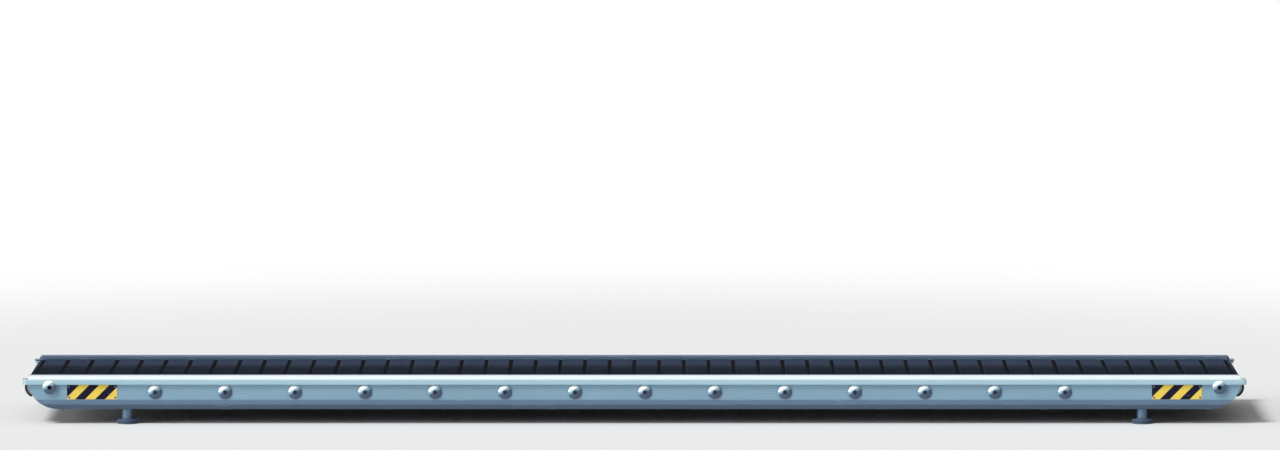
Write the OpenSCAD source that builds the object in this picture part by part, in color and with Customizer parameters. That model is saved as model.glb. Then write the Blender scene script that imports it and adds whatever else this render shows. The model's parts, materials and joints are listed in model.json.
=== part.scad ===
// Low baggage belt conveyor of the kind used at check-in halls.
// An endless belt of rubber pads slides over a sheet bed between two side rails,
// turns round a drum at each end and comes back over idle rollers.
// The frame stands on four clamped feet.
// +X runs along the belt to the drive end, +Y to the rear rail, +Z up.
// The origin lies on the floor, under the middle of the conveyor.
// All sizes are in millimetres.

/* [Overall] */
// Length over the rail cappings
overall_length = 6000; // [4500:10:7500]
// Gap between the floor and the underside of the rails
ground_clearance = 73.5; // [66:0.5:140]

/* [Belt] */
// Width of the belt
belt_width = 900; // [600:10:1200]
// Thickness of the carcass under the pads
carcass_thickness = 6; // [4:0.5:9]
// Height of the pads above the carcass
pad_thickness = 5; // [3:0.5:8]
// Distance from one groove to the next
pad_pitch = 122.5; // [90:0.5:160]
// Width of a groove at the top of the pads
groove_width = 20; // [12:0.5:28]
// How far each wall of a groove leans in towards the groove's floor
groove_lean = 3; // [1:0.5:5]
// Gap between a belt edge and the capping beside it
belt_side_gap = 20; // [12:1:30]

/* [Drums] */
// Outside diameter of the drive drum and of the tail drum
drum_diameter = 79; // [66:1:110]
// Thickness of a drum's shell
drum_wall = 5; // [3:0.5:9]
// Thickness of the wall that closes each end of a drum
drum_end_wall = 16; // [8:1:30]
// How far a drum reaches past each belt edge
drum_overlap = 7; // [2:1:10]
// Diameter of the fixed axle inside a drum
drum_axle_diameter = 20; // [16:0.5:24]
// Diameter of the motor inside the drive drum
motor_diameter = 60; // [44:1:66]
// Length of that motor
motor_length = 320; // [200:5:450]
// Distance from the rail's end back to the drum's axis
drum_setback = 32.5; // [28:0.5:60]
// Thickness of the plate that holds a drum axle's end
bearing_plate_thickness = 15; // [8:1:22]
// Diameter of the tail drum's take-up screws
take_up_diameter = 12; // [8:1:14]

/* [Return rollers] */
// Outside diameter of a return roller
roller_diameter = 40; // [32:1:55]
// Thickness of a return roller's tube
roller_wall = 3; // [2:0.5:6]
// Diameter of a return roller's fixed axle
roller_axle_diameter = 12; // [8:0.5:16]
// Distance between return rollers
roller_pitch = 800; // [500:10:1200]
// Gap between a return roller and the rail's bottom flange
roller_lift = 5.2; // [3:0.1:12]

/* [Slider bed] */
// Thickness of the bed sheet
bed_thickness = 3; // [2:0.5:6]
// Radius of the bed's turned-down ends
bed_lip_radius = 12; // [8:1:18]
// Distance between cross members
member_pitch = 343; // [220:1:500]
// Width of a cross member
member_width = 60; // [40:1:70]
// Wall thickness of a cross member
member_wall = 3; // [2:0.5:8]

/* [Side rails] */
// Sheet thickness of a rail
rail_gauge = 4; // [2.5:0.5:5]
// Height of each of the two bands that lean in under a rail's face
band_height = 24.5; // [18:0.5:30]
// How far the upper of these bands leans in
upper_band_lean = 9; // [4:0.5:14]
// How far the lower of these bands leans in
lower_band_lean = 12; // [6:0.5:18]
// Radius of the lower corner at each end of a rail
rail_end_radius = 150; // [135:1:165]
// Width of the strip that closes the gap beside the belt
edge_strip_width = 18; // [8:0.5:18.5]
// Thickness of that strip
edge_strip_thickness = 6; // [3:0.5:8]

/* [Cappings] */
// Height of the capping base's outer skirt
capping_skirt_height = 24.5; // [18:0.5:30]
// Thickness of the capping base above the rail
capping_plate_thickness = 5.8; // [4:0.1:12]
// Height of the round cover on the capping base
capping_cover_height = 20; // [16:0.5:30]
// Wall thickness of the cover
capping_cover_wall = 3; // [2:0.5:5]
// How far a capping stands out past the rail's face
capping_overhang = 15; // [8:0.5:24]
// How far a capping base reaches past each end of the rail
capping_end_overhang = 24.5; // [10:0.5:40]

/* [Feet] */
// Diameter of a foot's tube
foot_tube_diameter = 48.3; // [38:0.1:60.3]
// Wall thickness of a foot's tube
foot_tube_wall = 4; // [2.5:0.5:6]
// Diameter of a foot's plate and pad
foot_plate_diameter = 98; // [90:1:120]
// Thickness of a foot's steel plate
foot_plate_thickness = 10; // [6:1:14]
// Thickness of the rubber pad under it
foot_pad_thickness = 14; // [8:1:16]
// Distance from the capping's end to a foot's axis
foot_inset = 510; // [480:1:700]
// Diameter of the two anchor holes in a foot
anchor_hole_diameter = 11; // [7:0.5:13]
// Distance between a foot's two anchor holes
anchor_spacing = 74; // [72:0.5:78]

/* [Leg clamps] */
// Height of a leg clamp
clamp_height = 77; // [60:1:84]
// Least wall of a leg clamp round the foot's tube
clamp_wall = 8.5; // [6:0.5:12]
// Height of the beam that joins two leg clamps
leg_beam_height = 34; // [26:1:36]

/* [Warning plates] */
// Length of a striped warning plate
warning_length = 245; // [150:5:300]
// Thickness of a warning plate
warning_thickness = 1.5; // [1:0.1:3]
// Distance from the capping's end to the nearer end of a warning plate
warning_inset = 219; // [180:1:300]

/* [Terminal box] */
// Length of the terminal box
box_length = 120; // [80:1:130]
// Depth of the terminal box
box_depth = 42; // [38:1:44]
// Height of the terminal box
box_height = 80; // [50:1:110]
// Bore of the cable entry
cable_bore = 13; // [8:0.5:16]

/* [Hidden] */
$fn = 96;

// Colours of the finishes
steel_blue = [0.51, 0.64, 0.72];
pale_blue = [0.65, 0.78, 0.83];
bright_steel = [0.93, 0.96, 0.97];
dark_steel = [0.30, 0.37, 0.47];
rubber_black = [0.12, 0.14, 0.19];
signal_yellow = [0.91, 0.80, 0.35];
zinc_grey = [0.62, 0.66, 0.70];

// Clearances
slide_gap = 0.3;         // between the belt and what carries it
drum_gap = 0.5;          // between a drum and the belt round it
running_gap = 0.05;      // between a drum's bore and its axle, on the radius
seat_gap = 0.1;          // between a fixed axle and the hole that holds it, on the radius
belt_edge_clearance = 7; // from a belt edge to the leg clamps
bed_end_gap = 5.5;       // between the bed's ends and the drums
foot_gap = 5;            // round a foot's tube in the rail's bottom flange
foot_slide_gap = 0.3;    // round a foot's tube in its clamp, on the radius
end_clearance = 9;       // under the returning belt
member_clearance = 6;    // over the returning belt
flange_land = 4.9;       // bottom flange left outside a foot's notch
clamp_lift = 14.5;       // from a rail's underside to a leg clamp
cut = 1;                 // how far a cut runs past the piece it cuts

// Belt loop, from its inside out
belt_inner_radius = drum_diameter / 2 + drum_gap;
neutral_radius = belt_inner_radius + carcass_thickness / 2;
carcass_radius = belt_inner_radius + carcass_thickness;
pad_radius = carcass_radius + pad_thickness;

// Heights, from the floor up
rail_bottom = ground_clearance;
flange_top = rail_bottom + rail_gauge;
band_top = rail_bottom + 2 * band_height;
roller_z = flange_top + roller_lift + roller_diameter / 2;
return_underside = roller_z + roller_diameter / 2 + slide_gap;
drum_z = return_underside + pad_radius;
bed_top = drum_z + belt_inner_radius - slide_gap;
member_top = bed_top - bed_thickness;
member_bottom = drum_z - belt_inner_radius + member_clearance;
rail_edge = member_top + rail_gauge;
capping_base_top = rail_edge + capping_plate_thickness;
capping_skirt_bottom = capping_base_top - capping_skirt_height;
rail_top = capping_base_top + capping_cover_height;

// Places across the conveyor, from the middle out
belt_edge = belt_width / 2;
foot_radius = foot_tube_diameter / 2;
clamp_bore_radius = foot_radius + foot_slide_gap;
clamp_inner = belt_edge + belt_edge_clearance;
rail_inner = belt_edge + belt_side_gap;
foot_y = clamp_inner + clamp_wall + clamp_bore_radius;
web_outer = foot_y + foot_radius + foot_gap + flange_land + upper_band_lean + lower_band_lean;
web_inner = web_outer - rail_gauge;
capping_outer = web_outer + capping_overhang;

// Places along the conveyor, from the middle out
rail_half = overall_length / 2 - capping_end_overhang;
drum_x = rail_half - drum_setback;
bed_half = drum_x - drum_diameter / 2 - bed_end_gap;
foot_x = overall_length / 2 - foot_inset;
end_member_gap = 203;
bearing_reach_in = 108;
end_member_x = drum_x - end_member_gap;
bearing_start = drum_x - bearing_reach_in;
tie_width = 50;
tie_height = 30;
tie_wall = 4;
tie_seat = 40;
tie_end_gap = 10;
end_tie_x = rail_half - rail_end_radius - tie_width / 2 - tie_end_gap;

// Cross members: one outside each pair of feet, the rest at one pitch between the feet
first_member_gap = 141;
member_keep_off = 100;
member_end_wall = 8;
member_count = floor((2 * foot_x - first_member_gap - member_keep_off) / member_pitch) + 1;
member_places = concat(
    [-end_member_x],
    [for (i = [0:member_count - 1]) -foot_x + first_member_gap + i * member_pitch],
    [end_member_x]
);

// Return rollers, spread evenly about the middle
roller_keep_off = 150;
roller_count = floor((2 * foot_x - 2 * roller_keep_off) / roller_pitch) + 1;
roller_places = [for (i = [0:roller_count - 1]) (i - (roller_count - 1) / 2) * roller_pitch];
roller_overlap = 5;
roller_half = belt_edge + roller_overlap;
roller_end_wall = 10;
bracket_set_in = 6;
bracket_inner = rail_inner + bracket_set_in;
bracket_thickness = 5;
bracket_width = 40;
bracket_foot = 30;

// Leg clamps and the beams between them
clamp_half = clamp_bore_radius + clamp_wall;
clamp_bottom = rail_bottom + clamp_lift;
clamp_top = clamp_bottom + clamp_height;
clamp_seat_margin = 1.5;
clamp_slit = 3;
leg_beam_width = 60;
leg_beam_wall = 4;

// Drums' fixings
motor_end_gap = 3;
bearing_plate_gap = 4;
bearing_end_gap = 1.5;
nut_ratio = 0.9;
nut_height_ratio = 0.8;
nut_clearance = 1.5;

// Cappings
capping_edge_radius = 4;
capping_corner_radius = 20;
cover_land = 2.5;
cover_end_wall = 5;
cover_step = 2;
cover_inner = rail_inner + cover_step;
cover_outer = capping_outer - cover_step;

// Warning plates
warning_margin = 1.5;

// Terminal box, on the rear rail's bottom flange between a leg clamp and the end member
box_x = (foot_x + clamp_half + end_member_x - member_width / 2) / 2;
box_wall = 3;
box_set_in = 7;
box_inner = rail_inner + box_set_in;

// Cable gland, through the rail's bottom flange and the terminal box's floor
gland_y = box_inner + box_depth / 2;
gland_wall = 4.5;
gland_radius = cable_bore / 2 + gland_wall;
gland_nut_step = 4;
gland_nut_height = 12;
gland_collar = 4;
gland_drop = 22;
gland_rise = 8;

// Feet: [name, end of the conveyor along X, side along Y]
CORNERS = [
    ["front_left", -1, -1],
    ["front_right", 1, -1],
    ["rear_left", -1, 1],
    ["rear_right", 1, 1],
];

// Sides: [name, side along Y]
SIDES = [
    ["front", -1],
    ["rear", 1],
];

// Turns a piece drawn for the rear side into the one for the named side
module on_side(side) {
    if (side < 0)
        mirror([0, 1, 0]) children();
    else
        children();
}

// Draws a piece of the rear side on both sides
module both_sides() {
    for (s = SIDES)
        on_side(s[1]) children();
}

// Runs a section drawn in Y and Z along X, centred
module along_x(length) {
    rotate([90, 0, 90]) linear_extrude(height = length, center = true) children();
}

// Runs an outline drawn in X and Z along Y, between two places
module along_y(from, to) {
    translate([0, to, 0]) rotate([90, 0, 0]) linear_extrude(height = to - from) children();
}

// A block between two corners
module block(low, high) {
    translate(low) cube(high - low);
}

// A rod along Y between two places, its axis at [x, z]
module rod_y(x, z, radius, from, to) {
    translate([x, to, z]) rotate([90, 0, 0]) cylinder(r = radius, h = to - from);
}

// A tube closed at both ends but for its bore, lying along Y
module hollow_roller(radius, wall, end_wall, bore_radius, half_length) {
    rotate([90, 0, 0])
        rotate_extrude()
            polygon([
                [bore_radius, -half_length],
                [radius, -half_length],
                [radius, half_length],
                [bore_radius, half_length],
                [bore_radius, half_length - end_wall],
                [radius - wall, half_length - end_wall],
                [radius - wall, -half_length + end_wall],
                [bore_radius, -half_length + end_wall],
            ]);
}

// Belt
// The belt is one closed loop. A place on it is a distance s along its neutral line,
// counted from the middle of the top run, and a radius from the drums' axes.
nose_arc = PI * neutral_radius;
loop_length = 4 * drum_x + 2 * nose_arc;
pad_count = round(loop_length / pad_pitch);
fitted_pitch = loop_length / pad_count;
nose_steps = 24;

function to_degrees(arc) = arc / neutral_radius * 180 / PI;

// [x, z] of the place s, r, with z counted from the drums' axes
function on_loop(s, r) =
    s < drum_x ? [s, r] :
    s < drum_x + nose_arc ?
        [drum_x + r * sin(to_degrees(s - drum_x)), r * cos(to_degrees(s - drum_x))] :
    s < 3 * drum_x + nose_arc ? [2 * drum_x + nose_arc - s, -r] :
    s < 3 * drum_x + 2 * nose_arc ?
        [-drum_x - r * sin(to_degrees(s - 3 * drum_x - nose_arc)),
         -r * cos(to_degrees(s - 3 * drum_x - nose_arc))] :
    [s - loop_length, r];

// True where the stretch from s0 to s1 reaches round a drum
function on_nose(s0, s1) =
    (s1 > drum_x && s0 < drum_x + nose_arc) ||
    (s1 > 3 * drum_x + nose_arc && s0 < 3 * drum_x + 2 * nose_arc);

// Points of a stretch at one radius, its ends included
function stretch(s0, s1, r) =
    let (steps = on_nose(s0, s1) ? nose_steps : 1)
    [for (i = [0:steps]) on_loop(s0 + (s1 - s0) * i / steps, r)];

// One pitch of the belt's outside: the groove's half, the pad, and the next groove's half
function pad_outline(s) =
    let (
        floor_half = groove_width / 2 - groove_lean,
        top_half = groove_width / 2,
        next = s + fitted_pitch
    )
    concat(
        stretch(s, s + floor_half, carcass_radius),
        stretch(s + top_half, next - top_half, pad_radius),
        [on_loop(next - floor_half, carcass_radius)]
    );

module belt() {
    outline = [for (i = [0:pad_count - 1]) each pad_outline(i * fitted_pitch)];
    color(rubber_black)
        translate([0, 0, drum_z])
            along_y(-belt_edge, belt_edge)
                difference() {
                    polygon(outline);
                    union() {
                        square([2 * drum_x, 2 * belt_inner_radius], center = true);
                        for (end = [-1, 1])
                            translate([end * drum_x, 0]) circle(r = belt_inner_radius);
                    }
                }
}

// Slider bed: one sheet, its ends turned down in front of the drums
module slider_bed() {
    flat_half = bed_half - bed_lip_radius;
    bed_edge = rail_inner - seat_gap;
    lip_z = bed_top - bed_lip_radius;
    color(zinc_grey) {
        block([-flat_half, -bed_edge, member_top], [flat_half, bed_edge, bed_top]);
        for (end = [-1, 1])
            intersection() {
                difference() {
                    rod_y(end * flat_half, lip_z, bed_lip_radius, -bed_edge, bed_edge);
                    rod_y(end * flat_half, lip_z, bed_lip_radius - bed_thickness,
                        -bed_edge - cut, bed_edge + cut);
                }
                block(
                    [end < 0 ? -bed_half : flat_half, -bed_edge, lip_z],
                    [end < 0 ? -flat_half : bed_half, bed_edge, bed_top]
                );
            }
    }
}

// A channel along Y, open below, with or without walls at its ends
module channel_y(x, half_width, wall, half_length, bottom, top, end_wall = 0) {
    inner_half = end_wall > 0 ? half_length - end_wall : half_length + cut;
    difference() {
        block([x - half_width, -half_length, bottom], [x + half_width, half_length, top]);
        block(
            [x - half_width + wall, -inner_half, bottom - cut],
            [x + half_width - wall, inner_half, top - wall]
        );
    }
}

// Cross members: channels whose end walls take the bolts through the rails
module cross_members() {
    color(dark_steel)
        for (x = member_places)
            channel_y(
                x, member_width / 2, member_wall,
                web_inner, member_bottom, member_top, member_end_wall
            );
}

// End ties: channels that stand on the bottom flanges near each end
module end_ties() {
    color(steel_blue)
        for (end = [-1, 1])
            channel_y(
                end * end_tie_x, tie_width / 2, tie_wall,
                rail_inner + tie_seat, flange_top, flange_top + tie_height
            );
}

// Leg beams: channels between the two leg clamps of each end
module leg_beams() {
    beam_top = return_underside - end_clearance;
    color(dark_steel)
        for (end = [-1, 1])
            channel_y(
                end * foot_x, leg_beam_width / 2, leg_beam_wall,
                clamp_inner, beam_top - leg_beam_height, beam_top
            );
}

// Leg clamp: a bored block on the rail's web, slit so that it grips the foot's tube
module leg_clamp() {
    difference() {
        union() {
            block([-clamp_half, clamp_inner, clamp_bottom], [clamp_half, foot_y + clamp_half, clamp_top]);
            block([-clamp_half, foot_y, band_top + clamp_seat_margin], [clamp_half, web_inner, clamp_top]);
        }
        translate([0, foot_y, clamp_bottom - cut])
            cylinder(r = clamp_bore_radius, h = clamp_height + 2 * cut);
        block(
            [0, foot_y - clamp_slit / 2, clamp_bottom - cut],
            [clamp_half + cut, foot_y + clamp_slit / 2, clamp_top + cut]
        );
    }
}

module leg_clamps() {
    color(dark_steel)
        for (corner = CORNERS)
            translate([corner[1] * foot_x, 0, 0]) on_side(corner[2]) leg_clamp();
}

// Side rail: a folded section that leans in twice under its face, with closed round ends
module rail_section() {
    polygon([
        [rail_inner, rail_edge],
        [web_outer, rail_edge],
        [web_outer, band_top],
        [web_outer - upper_band_lean, band_top - band_height],
        [web_outer - upper_band_lean - lower_band_lean, rail_bottom],
        [rail_inner, rail_bottom],
    ]);
}

module rail_cavity_section() {
    lean_at_flange = lower_band_lean * (1 - rail_gauge / band_height);
    polygon([
        [rail_inner - cut, member_top],
        [web_inner, member_top],
        [web_inner, band_top],
        [web_inner - upper_band_lean, band_top - band_height],
        [web_inner - upper_band_lean - lean_at_flange, flange_top],
        [rail_inner - cut, flange_top],
    ]);
}

// Side view of a rail, shrunk by an inset at its ends and underside
module rail_outline(inset) {
    corner_x = rail_half - rail_end_radius;
    corner_z = rail_bottom + rail_end_radius;
    intersection() {
        union() {
            translate([-corner_x, rail_bottom + inset])
                square([2 * corner_x, rail_end_radius]);
            for (end = [-1, 1])
                translate([end * corner_x, corner_z]) circle(r = rail_end_radius - inset);
        }
        translate([-rail_half, rail_bottom])
            square([2 * rail_half, rail_edge - rail_bottom]);
    }
}

// Notch in a rail's bottom flange that a foot's tube passes
module foot_notch(x) {
    notch_radius = foot_radius + foot_gap;
    translate([x, foot_y, rail_bottom - cut]) cylinder(r = notch_radius, h = rail_gauge + 2 * cut);
    block(
        [x - notch_radius, rail_inner - cut, rail_bottom - cut],
        [x + notch_radius, foot_y, flange_top + cut]
    );
}

module rail(side) {
    color(steel_blue)
        on_side(side)
            difference() {
                intersection() {
                    along_x(2 * rail_half) rail_section();
                    along_y(rail_inner - cut, web_outer + cut) rail_outline(0);
                }
                intersection() {
                    along_x(2 * rail_half) rail_cavity_section();
                    along_y(rail_inner - 2 * cut, web_outer + cut) rail_outline(rail_gauge);
                }
                for (end = [-1, 1])
                    foot_notch(end * foot_x);
                if (side > 0)
                    gland_hole(rail_bottom, rail_gauge);
            }
}

// Plan of a capping, its corners round
module capping_plan(half_length, corner_radius, inner, outer) {
    union() {
        translate([-half_length, inner + corner_radius])
            square([2 * half_length, outer - inner - 2 * corner_radius]);
        translate([-half_length + corner_radius, inner])
            square([2 * (half_length - corner_radius), outer - inner]);
        for (end = [-1, 1])
            for (y = [inner + corner_radius, outer - corner_radius])
                translate([end * (half_length - corner_radius), y]) circle(r = corner_radius);
    }
}

// Capping base: an angle over the rail's edge, its outer edges round
module capping_base_section() {
    edge_x = capping_outer - capping_edge_radius;
    difference() {
        union() {
            translate([rail_inner, capping_skirt_bottom])
                square([edge_x - rail_inner, capping_skirt_height]);
            translate([rail_inner, capping_skirt_bottom + capping_edge_radius])
                square([capping_outer - rail_inner, capping_skirt_height - 2 * capping_edge_radius]);
            for (z = [capping_skirt_bottom + capping_edge_radius, capping_base_top - capping_edge_radius])
                translate([edge_x, z]) circle(r = capping_edge_radius);
        }
        translate([rail_inner - cut, capping_skirt_bottom - cut])
            square([web_outer - rail_inner + cut, rail_edge - capping_skirt_bottom + cut]);
    }
}

module capping_base(side) {
    color(pale_blue)
        on_side(side)
            intersection() {
                along_x(overall_length) capping_base_section();
                translate([0, 0, capping_skirt_bottom - cut])
                    linear_extrude(height = capping_skirt_height + 2 * cut)
                        capping_plan(overall_length / 2, capping_corner_radius, rail_inner, capping_outer);
            }
}

// Capping cover: a hollow moulding with a half-round outer edge and domed ends.
// Its section is drawn shrunk by an inset, for the outside and for the hollow.
module cover_section(inset) {
    outer_round = capping_cover_height - cover_land;
    inner_round = capping_cover_height / 2;
    low = capping_base_top + inset;
    flat_width = cover_outer - cover_inner - inner_round - outer_round;
    union() {
        translate([cover_inner + inner_round, low])
            square([flat_width, capping_cover_height - 2 * inset]);
        translate([cover_inner + inset, low])
            square([cover_outer - cover_inner - 2 * inset, cover_land - inset]);
        translate([cover_inner + inset, low])
            square([inner_round, capping_cover_height - inner_round - inset]);
        intersection() {
            union() {
                translate([cover_inner + inner_round, rail_top - inner_round])
                    circle(r = inner_round - inset);
                translate([cover_outer - outer_round, rail_top - outer_round])
                    circle(r = outer_round - inset);
            }
            translate([cover_inner, low])
                square([cover_outer - cover_inner, capping_cover_height]);
        }
    }
}

// The cover's hollow, open to the base below it
module cover_hollow_section() {
    union() {
        cover_section(capping_cover_wall);
        translate([cover_inner + capping_cover_wall, capping_base_top - cut])
            square([cover_outer - cover_inner - 2 * capping_cover_wall, capping_cover_wall + cut]);
    }
}

// Side view of the cover, its upper corners round
module cover_outline(end_round) {
    union() {
        translate([-rail_half + end_round, capping_base_top])
            square([2 * (rail_half - end_round), capping_cover_height]);
        translate([-rail_half, capping_base_top])
            square([2 * rail_half, capping_cover_height - end_round]);
        for (end = [-1, 1])
            translate([end * (rail_half - end_round), rail_top - end_round]) circle(r = end_round);
    }
}

module capping_cover(side) {
    end_round = capping_cover_height - cover_land;
    color(bright_steel)
        on_side(side)
            difference() {
                intersection() {
                    along_x(2 * rail_half) cover_section(0);
                    along_y(rail_inner, capping_outer) cover_outline(end_round);
                    translate([0, 0, capping_base_top - cut])
                        linear_extrude(height = capping_cover_height + 2 * cut)
                            capping_plan(rail_half, capping_corner_radius, cover_inner, cover_outer);
                }
                along_x(2 * (rail_half - end_round - cover_end_wall)) cover_hollow_section();
            }
}

// Strip on the bed's margin that closes the gap beside the belt
module edge_strip(side) {
    strip_half = bed_half - bed_lip_radius;
    color(rubber_black)
        on_side(side)
            block(
                [-strip_half, rail_inner - edge_strip_width, bed_top],
                [strip_half, rail_inner, bed_top + edge_strip_thickness]
            );
}

// Drums turn on fixed axles, which plates on the rails' webs hold
module drum(end) {
    color(dark_steel)
        translate([end * drum_x, 0, drum_z])
            hollow_roller(
                drum_diameter / 2, drum_wall, drum_end_wall,
                drum_axle_diameter / 2 + running_gap, belt_edge + drum_overlap
            );
}

// The drive drum's motor, a plain block round the axle
module drum_motor() {
    motor_end = belt_edge + drum_overlap - drum_end_wall - motor_end_gap;
    motor_start = motor_end - motor_length;
    bore_radius = drum_axle_diameter / 2 + seat_gap;
    color(zinc_grey)
        difference() {
            rod_y(drum_x, drum_z, motor_diameter / 2, motor_start, motor_end);
            rod_y(drum_x, drum_z, bore_radius, motor_start - cut, motor_end + cut);
        }
}

module drum_axle(end) {
    color(zinc_grey)
        rod_y(end * drum_x, drum_z, drum_axle_diameter / 2, -web_inner, web_inner);
}

// A bearing plate's outer end follows the inside of the rail's round end
module bearing_plate() {
    plate_inner = web_inner - bearing_plate_thickness;
    plate_top = member_top - bearing_plate_gap;
    difference() {
        intersection() {
            block([bearing_start, plate_inner, member_bottom], [rail_half, web_inner, plate_top]);
            along_y(plate_inner - cut, web_inner + cut) rail_outline(rail_gauge + bearing_end_gap);
        }
        rod_y(drum_x, drum_z, drum_axle_diameter / 2 + seat_gap, plate_inner - cut, web_inner + cut);
    }
}

module bearing_plates(end) {
    color(steel_blue)
        mirror([end < 0 ? 1 : 0, 0, 0])
            both_sides() bearing_plate();
}

// Take-up screws, with lock nuts, push the tail drum's plates away from the end member
module take_up_screws() {
    member_face = end_member_x + member_width / 2;
    screw_length = bearing_start - member_face;
    nut_radius = take_up_diameter * nut_ratio;
    nut_height = take_up_diameter * nut_height_ratio;
    screw_y = web_inner - nut_radius - nut_clearance;
    color(zinc_grey)
        both_sides()
            translate([-bearing_start, screw_y, drum_z])
                rotate([0, 90, 0]) {
                    cylinder(r = take_up_diameter / 2, h = screw_length);
                    translate([0, 0, screw_length - nut_height])
                        cylinder(r = nut_radius, h = nut_height, $fn = 6);
                }
}

// Return rollers on fixed axles in brackets that stand on the bottom flanges
module return_rollers() {
    color(zinc_grey)
        for (x = roller_places)
            translate([x, 0, roller_z])
                hollow_roller(
                    roller_diameter / 2, roller_wall, roller_end_wall,
                    roller_axle_diameter / 2 + running_gap, roller_half
                );
}

module roller_axles() {
    axle_half = bracket_inner + bracket_thickness;
    color(dark_steel)
        for (x = roller_places)
            rod_y(x, roller_z, roller_axle_diameter / 2, -axle_half, axle_half);
}

module roller_bracket(x) {
    low_x = x - bracket_width / 2;
    high_x = x + bracket_width / 2;
    difference() {
        union() {
            block([low_x, bracket_inner, flange_top],
                [high_x, bracket_inner + bracket_thickness, roller_z + bracket_width / 2]);
            block([low_x, bracket_inner, flange_top],
                [high_x, bracket_inner + bracket_foot, flange_top + bracket_thickness]);
        }
        rod_y(x, roller_z, roller_axle_diameter / 2 + seat_gap,
            bracket_inner - cut, bracket_inner + bracket_thickness + cut);
    }
}

module roller_brackets() {
    color(steel_blue)
        both_sides()
            for (x = roller_places)
                roller_bracket(x);
}

// Terminal box for the drive's supply: a tray on the rear rail's bottom flange, and its lid
module terminal_box() {
    low_x = box_x - box_length / 2;
    high_x = box_x + box_length / 2;
    box_outer = box_inner + box_depth;
    box_top = flange_top + box_height;
    color(zinc_grey)
        difference() {
            block([low_x, box_inner, flange_top], [high_x, box_outer, box_top]);
            block(
                [low_x + box_wall, box_inner - cut, flange_top + box_wall],
                [high_x - box_wall, box_outer - box_wall, box_top - box_wall]
            );
            gland_hole(flange_top, box_wall);
        }
}

module terminal_lid() {
    color(zinc_grey)
        block(
            [box_x - box_length / 2, box_inner - box_wall, flange_top],
            [box_x + box_length / 2, box_inner, flange_top + box_height]
        );
}

// Hole for the cable gland in a sheet whose underside is at z
module gland_hole(z, sheet) {
    translate([box_x, gland_y, z - cut])
        cylinder(r = gland_radius + seat_gap, h = sheet + 2 * cut);
}

// Cable gland: a threaded sleeve with its clamping nut below, a collar under the flange
// and a lock nut inside the box
module cable_gland() {
    nut_radius = gland_radius + gland_nut_step;
    floor_top = flange_top + box_wall;
    bottom = rail_bottom - gland_drop;
    top = floor_top + gland_rise;
    color(rubber_black)
        translate([box_x, gland_y, 0])
            difference() {
                union() {
                    translate([0, 0, bottom]) cylinder(r = gland_radius, h = top - bottom);
                    translate([0, 0, bottom]) cylinder(r = nut_radius, h = gland_nut_height, $fn = 6);
                    for (z = [rail_bottom - gland_collar, floor_top])
                        translate([0, 0, z]) cylinder(r = nut_radius, h = gland_collar, $fn = 6);
                }
                translate([0, 0, bottom - cut]) cylinder(r = cable_bore / 2, h = top - bottom + 2 * cut);
            }
}

// Striped warning plates on the rails' faces
module warning_plates(side) {
    middle = overall_length / 2 - warning_inset - warning_length / 2;
    color(signal_yellow)
        on_side(side)
            for (end = [-1, 1])
                translate([end * middle, web_outer, 0])
                    block(
                        [-warning_length / 2, 0, band_top + warning_margin],
                        [warning_length / 2, warning_thickness, capping_skirt_bottom - warning_margin]
                    );
}

// Feet, each drawn at its corner
module at_corner(corner) {
    translate([corner[1] * foot_x, corner[2] * foot_y, 0]) children();
}

module foot_tube(corner) {
    tube_bottom = foot_pad_thickness + foot_plate_thickness;
    color(zinc_grey)
        at_corner(corner)
            translate([0, 0, tube_bottom])
                difference() {
                    cylinder(r = foot_radius, h = clamp_top - tube_bottom);
                    translate([0, 0, foot_tube_wall])
                        cylinder(r = foot_radius - foot_tube_wall, h = clamp_top - tube_bottom);
                }
}

// A round disc with a foot's two anchor holes
module foot_disc(thickness) {
    difference() {
        cylinder(r = foot_plate_diameter / 2, h = thickness);
        for (end = [-1, 1])
            translate([end * anchor_spacing / 2, 0, -cut])
                cylinder(r = anchor_hole_diameter / 2, h = thickness + 2 * cut);
    }
}

module foot_plate(corner) {
    color(dark_steel)
        at_corner(corner)
            translate([0, 0, foot_pad_thickness]) foot_disc(foot_plate_thickness);
}

module foot_pad(corner) {
    color(rubber_black)
        at_corner(corner) foot_disc(foot_pad_thickness);
}

belt();
slider_bed();
cross_members();
end_ties();
leg_beams();
leg_clamps();
drum(1);  // drive_drum
drum_motor();
drum_axle(1);  // drive_axle
bearing_plates(1);  // drive_bearing_plates
drum(-1);  // tail_drum
drum_axle(-1);  // tail_axle
bearing_plates(-1);  // tail_bearing_plates
take_up_screws();
return_rollers();
roller_axles();
roller_brackets();
terminal_box();
terminal_lid();
cable_gland();
for (s = SIDES) {
    rail(s[1]);
    capping_base(s[1]);
    capping_cover(s[1]);
    edge_strip(s[1]);
    warning_plates(s[1]);
}
for (c = CORNERS) {
    foot_tube(c);
    foot_plate(c);
    foot_pad(c);
}
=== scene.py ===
"""A low baggage belt conveyor: belt, drums and rollers between two painted rails on four feet."""

import json
import math

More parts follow.
